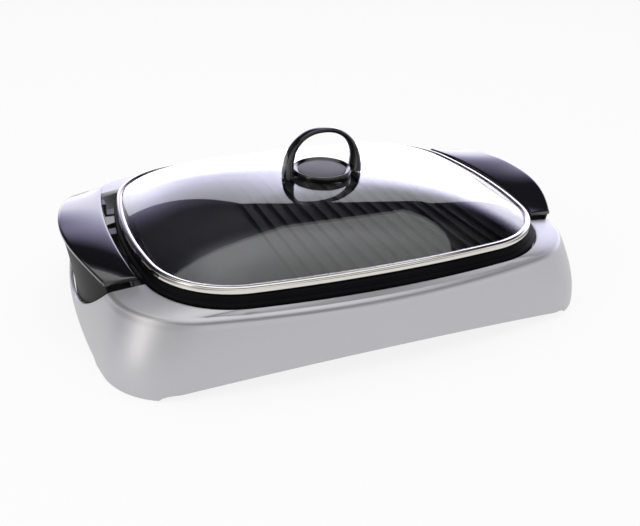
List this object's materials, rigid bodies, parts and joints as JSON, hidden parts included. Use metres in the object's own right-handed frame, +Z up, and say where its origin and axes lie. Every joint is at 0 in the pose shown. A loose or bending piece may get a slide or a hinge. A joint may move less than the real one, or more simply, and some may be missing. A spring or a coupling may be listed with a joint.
{
  "type": "electric indoor grill with lid",
  "caption": "Countertop electric grill with a ridged cooking plate on side handles, a silver base, a plug-in heat control, a drip tray and a lift-off domed glass lid.",
  "frame": {"origin": "on the table, at the middle of the base's footprint", "axes": "+Z up, -Y towards the front, +X towards the side with the plug-in control"},
  "size_m": [0.5476, 0.3986, 0.1768],
  "materials": {
    "silver_shell": "satin silver paint",
    "black_plastic": "moulded matte black",
    "rubber": "matte rubber",
    "steel_hardware": "zinc-plated",
    "reflector": "aluminised sheet",
    "tray_steel": "black enamel",
    "cast_plate": "black non-stick coating on a casting",
    "element_sheath": "dark oxidised sheath",
    "ceramic": "white ceramic",
    "gloss_black": "polished black",
    "dark_grey_plastic": "matte dark grey",
    "clear_glass": "tempered clear glass",
    "rim_steel": "polished stainless steel",
    "knob_floor": "matte grey",
    "seal_silicone": "silicone",
    "contact_brass": "plated brass",
    "lens_red": "clear red"
  },
  "bodies": {
    "base": {"base_shell": "silver_shell", "bottom_cover": "black_plastic", "rubber_feet": "rubber", "cover_screws": "steel_hardware", "heat_reflector": "reflector", "plate_rests": "steel_hardware", "rest_screws": "steel_hardware"},
    "tray": {"drip_tray": "tray_steel"},
    "plate": {"grill_plate": "cast_plate", "heating_element": "element_sheath", "element_clips": "steel_hardware", "clip_screws": "steel_hardware", "terminal_beads": "ceramic", "terminal_pins": "steel_hardware", "socket_shroud": "steel_hardware", "probe_sleeve": "steel_hardware", "handle_cover_left": "gloss_black", "handle_cover_right": "gloss_black", "handle_skirt_left": "dark_grey_plastic", "handle_skirt_right": "dark_grey_plastic", "handle_brackets_left": "steel_hardware", "handle_brackets_right": "steel_hardware", "bracket_screws": "steel_hardware", "handle_screws": "steel_hardware"},
    "control": {"control_housing": "black_plastic", "control_end_cap": "black_plastic", "control_probe": "rim_steel", "contact_sleeves": "contact_brass", "thermostat_switch": "ceramic", "indicator_lens": "lens_red", "cord_gland": "rubber"},
    "dial": {"control_dial": "black_plastic"},
    "lid": {"lid_glass": "clear_glass", "lid_rim": "rim_steel", "knob_seal": "seal_silicone", "knob_loop": "gloss_black", "knob_base": "gloss_black", "knob_cap": "knob_floor", "knob_washer": "steel_hardware", "knob_screw": "steel_hardware"}
  },
  "joints": [
    {"name": "plate_lift", "type": "slide", "parent": "base", "child": "plate", "axis": [0, 0, 1], "range_m": [0, 0.2]},
    {"name": "tray_lift", "type": "slide", "parent": "base", "child": "tray", "axis": [0, 0, 1], "range_m": [0, 0.08]},
    {"name": "lid_lift", "type": "slide", "parent": "plate", "child": "lid", "axis": [0, 0, 1], "range_m": [0, 0.15]},
    {"name": "control_pull", "type": "slide", "parent": "plate", "child": "control", "axis": [1, 0, 0], "range_m": [0, 0.1]},
    {"name": "dial_turn", "type": "hinge", "parent": "control", "child": "dial", "pos_m": [0.2664, 0, 0.056], "axis": [1, 0, 0], "range_deg": [0, 270]}
  ],
  "couplings": [
    {"joint": "tray_lift", "follows": "plate_lift", "ratio": 0.4}
  ]
}
